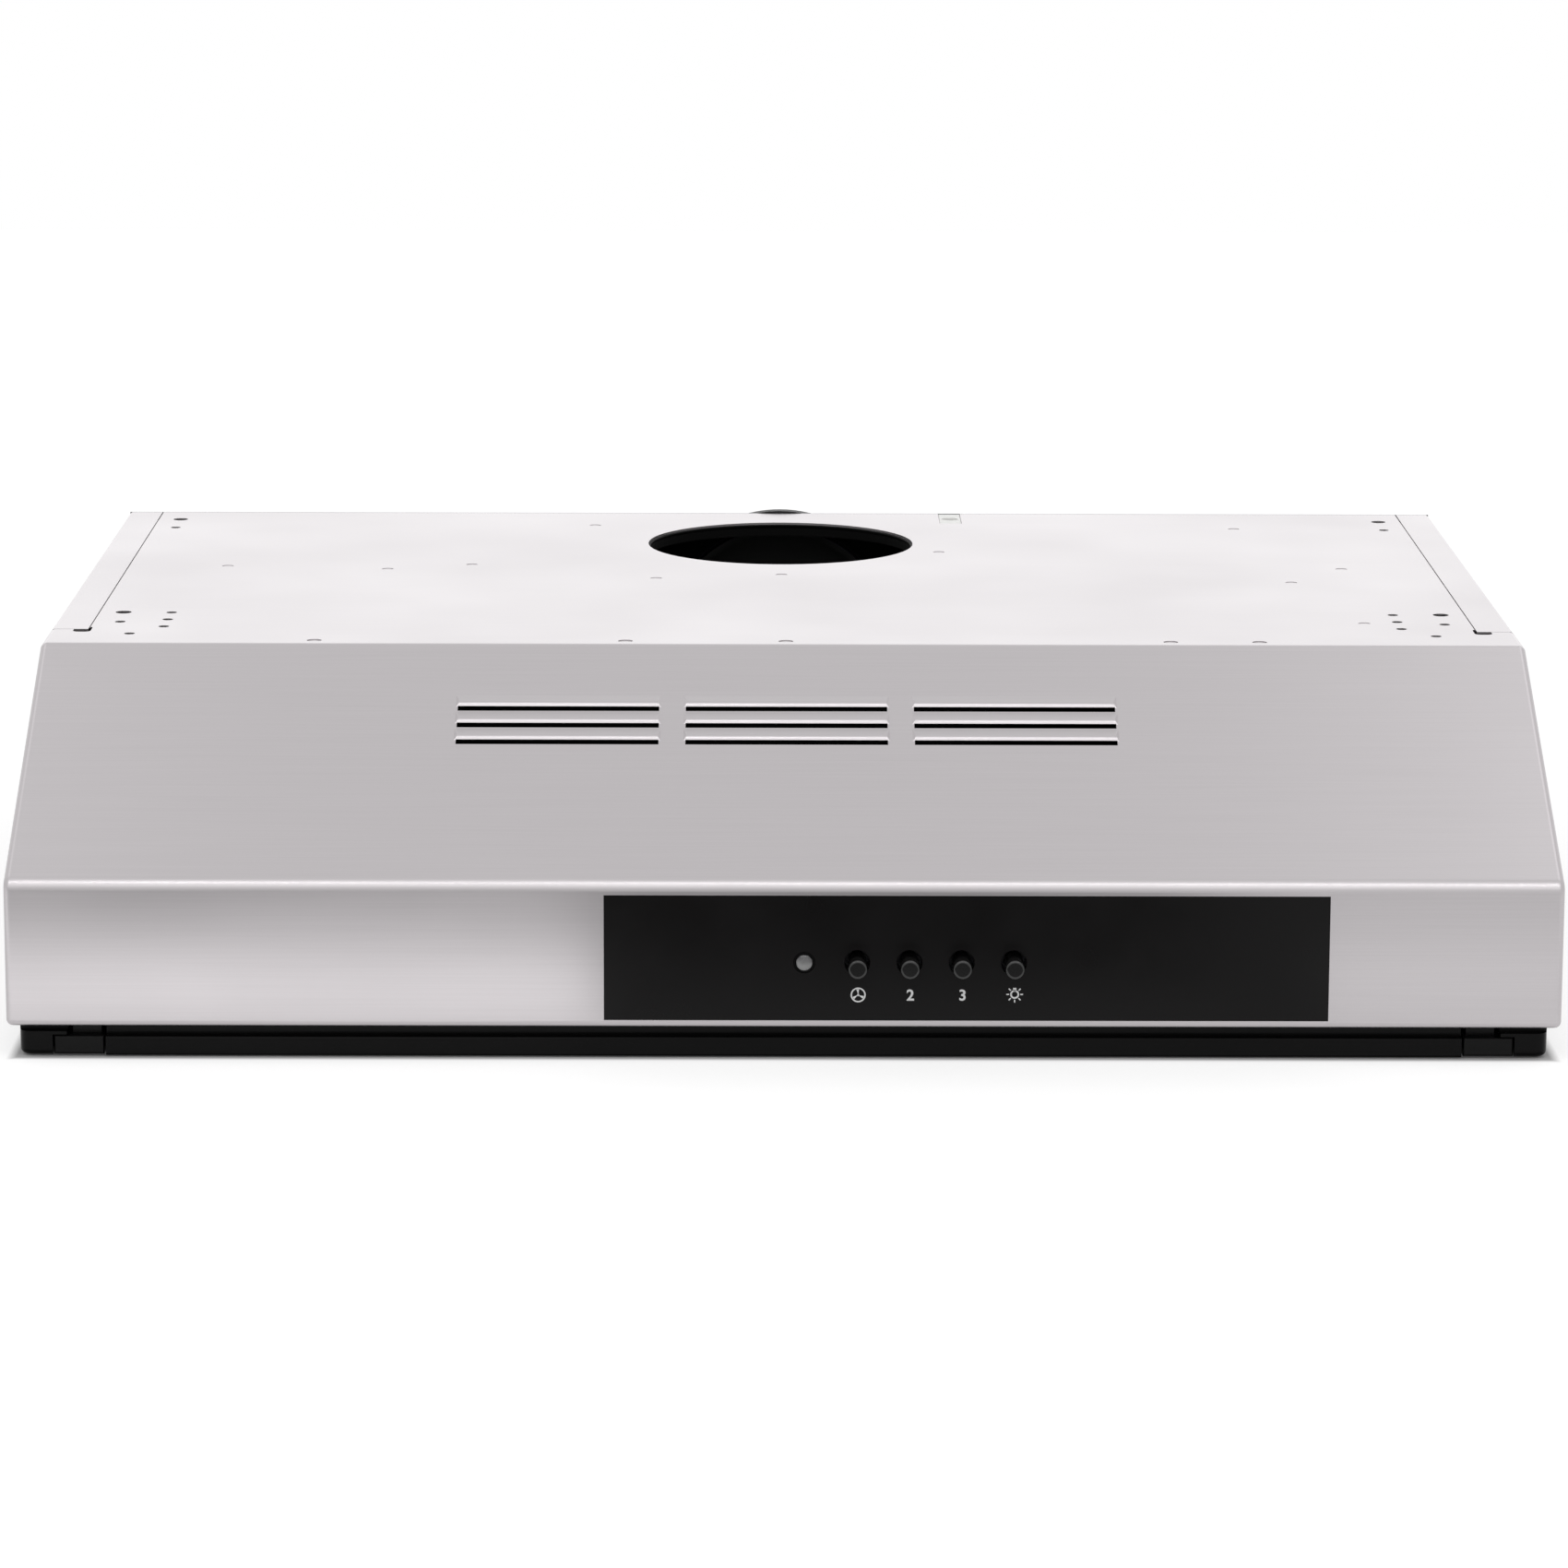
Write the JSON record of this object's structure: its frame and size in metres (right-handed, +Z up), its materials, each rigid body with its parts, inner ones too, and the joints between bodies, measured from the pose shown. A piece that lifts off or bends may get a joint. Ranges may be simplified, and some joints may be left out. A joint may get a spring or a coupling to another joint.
{
  "type": "under cabinet range hood",
  "caption": "Under cabinet range hood in brushed stainless steel: sloping louvred front, black control panel with round push buttons, top duct outlet and a hinged black grille below.",
  "frame": {"origin": "middle of the flat top face that meets the cabinet", "axes": "+X to the right of someone facing the hood, +Y towards the wall, +Z up"},
  "size_m": [0.6, 0.501, 0.1404],
  "materials": {
    "stainless": "brushed grain along the width",
    "galvanised": "galvanised sheet",
    "zinc": "zinc plated",
    "panel_black": "satin black moulding",
    "button_black": "satin black",
    "frame_black": "fine grained black",
    "cap_black": "fine grained black",
    "gland_white": "white nylon",
    "pilot_lens": "smoky clear",
    "lamp_body": "white moulding",
    "switch_grey": "grey moulding",
    "blower_plastic": "dark grey moulding",
    "impeller_plastic": "dark grey moulding",
    "motor_steel": "zinc plated steel",
    "core_steel": "stacked steel sheets",
    "shaft_steel": "ground steel",
    "rubber": "black rubber",
    "capacitor_case": "white case",
    "duct_plastic": "grey moulding",
    "terminal_plastic": "pale grey moulding",
    "diffuser": "frosted translucent",
    "bulb_glass": "frosted glass",
    "grid_black": "black powder coat",
    "filter_mat": "white non-woven fibre"
  },
  "bodies": {
    "hood": {"main_shell": "stainless", "side_panel_left": "stainless", "side_panel_right": "stainless", "back_panel": "galvanised", "back_panel_screws": "zinc", "rear_outlet_cap": "cap_black", "cable_gland": "gland_white", "control_panel": "panel_black", "panel_nuts": "zinc", "switch_block": "switch_grey", "switch_screws": "zinc", "pilot_lens": "pilot_lens", "pilot_lamp": "lamp_body", "volute_housing": "blower_plastic", "volute_cover": "blower_plastic", "blower_grommets": "rubber", "blower_studs": "zinc", "blower_nuts": "zinc", "inlet_guard": "blower_plastic", "motor_can": "motor_steel", "motor_end_plate": "motor_steel", "motor_bearings": "shaft_steel", "motor_screws": "zinc", "stator_core": "core_steel", "capacitor": "capacitor_case", "outlet_box": "duct_plastic", "recirculation_duct": "duct_plastic", "terminal_box": "terminal_plastic", "terminal_lid": "terminal_plastic", "hinge_brackets": "galvanised", "lamp_brackets": "galvanised", "lamp_holders": "lamp_body", "lamp_bulbs": "bulb_glass"},
    "fan": {"rotor_core": "core_steel", "motor_shaft": "shaft_steel", "impeller": "impeller_plastic", "shaft_nut": "zinc"},
    "diverter": {"diverter_shaft": "shaft_steel", "diverter_flap": "blower_plastic", "diverter_lever": "button_black"},
    "grille": {"front_rail": "frame_black", "rear_rail": "frame_black", "cross_rail": "frame_black", "side_rail_left": "frame_black", "side_rail_right": "frame_black", "front_corner_left": "frame_black", "front_corner_right": "frame_black", "rear_corners": "frame_black", "lamp_panel": "grid_black", "filter_grid": "grid_black", "filter_mat": "filter_mat", "filter_wires": "shaft_steel", "hinge_pins": "shaft_steel", "lamp_diffusers": "diffuser"},
    "left_catch": {"catch_left": "button_black"},
    "right_catch": {"catch_right": "button_black"},
    "push_button_1": {"button_1": "button_black"},
    "push_button_2": {"button_2": "button_black"},
    "push_button_3": {"button_3": "button_black"},
    "push_button_4": {"button_4": "button_black"}
  },
  "joints": [
    {"name": "fan_spin", "type": "hinge", "parent": "hood", "child": "fan", "pos_m": [-0.084, -0.0668, -0.0553], "axis": [0, 0, 1], "continuous": true},
    {"name": "grille_hinge", "type": "hinge", "parent": "hood", "child": "grille", "pos_m": [0, 0.1585, -0.133], "axis": [1, 0, 0], "range_deg": [0, 85]},
    {"name": "diverter_turn", "type": "hinge", "parent": "hood", "child": "diverter", "pos_m": [0.0585, 0.0859, -0.067], "axis": [0, -1, 0], "range_deg": [0, 50]},
    {"name": "button_1_press", "type": "slide", "parent": "hood", "child": "push_button_1", "axis": [0, 1, 0], "range_m": [0, 0.004], "stiffness_N_per_m": 400},
    {"name": "button_2_press", "type": "slide", "parent": "hood", "child": "push_button_2", "axis": [0, 1, 0], "range_m": [0, 0.004], "stiffness_N_per_m": 400},
    {"name": "button_3_press", "type": "slide", "parent": "hood", "child": "push_button_3", "axis": [0, 1, 0], "range_m": [0, 0.004], "stiffness_N_per_m": 400},
    {"name": "button_4_press", "type": "slide", "parent": "hood", "child": "push_button_4", "axis": [0, 1, 0], "range_m": [0, 0.004], "stiffness_N_per_m": 400},
    {"name": "left_catch_press", "type": "slide", "parent": "grille", "child": "left_catch", "axis": [0, 1, 0], "range_m": [0, 0.0045], "stiffness_N_per_m": 500},
    {"name": "right_catch_press", "type": "slide", "parent": "grille", "child": "right_catch", "axis": [0, 1, 0], "range_m": [0, 0.0045], "stiffness_N_per_m": 500}
  ]
}
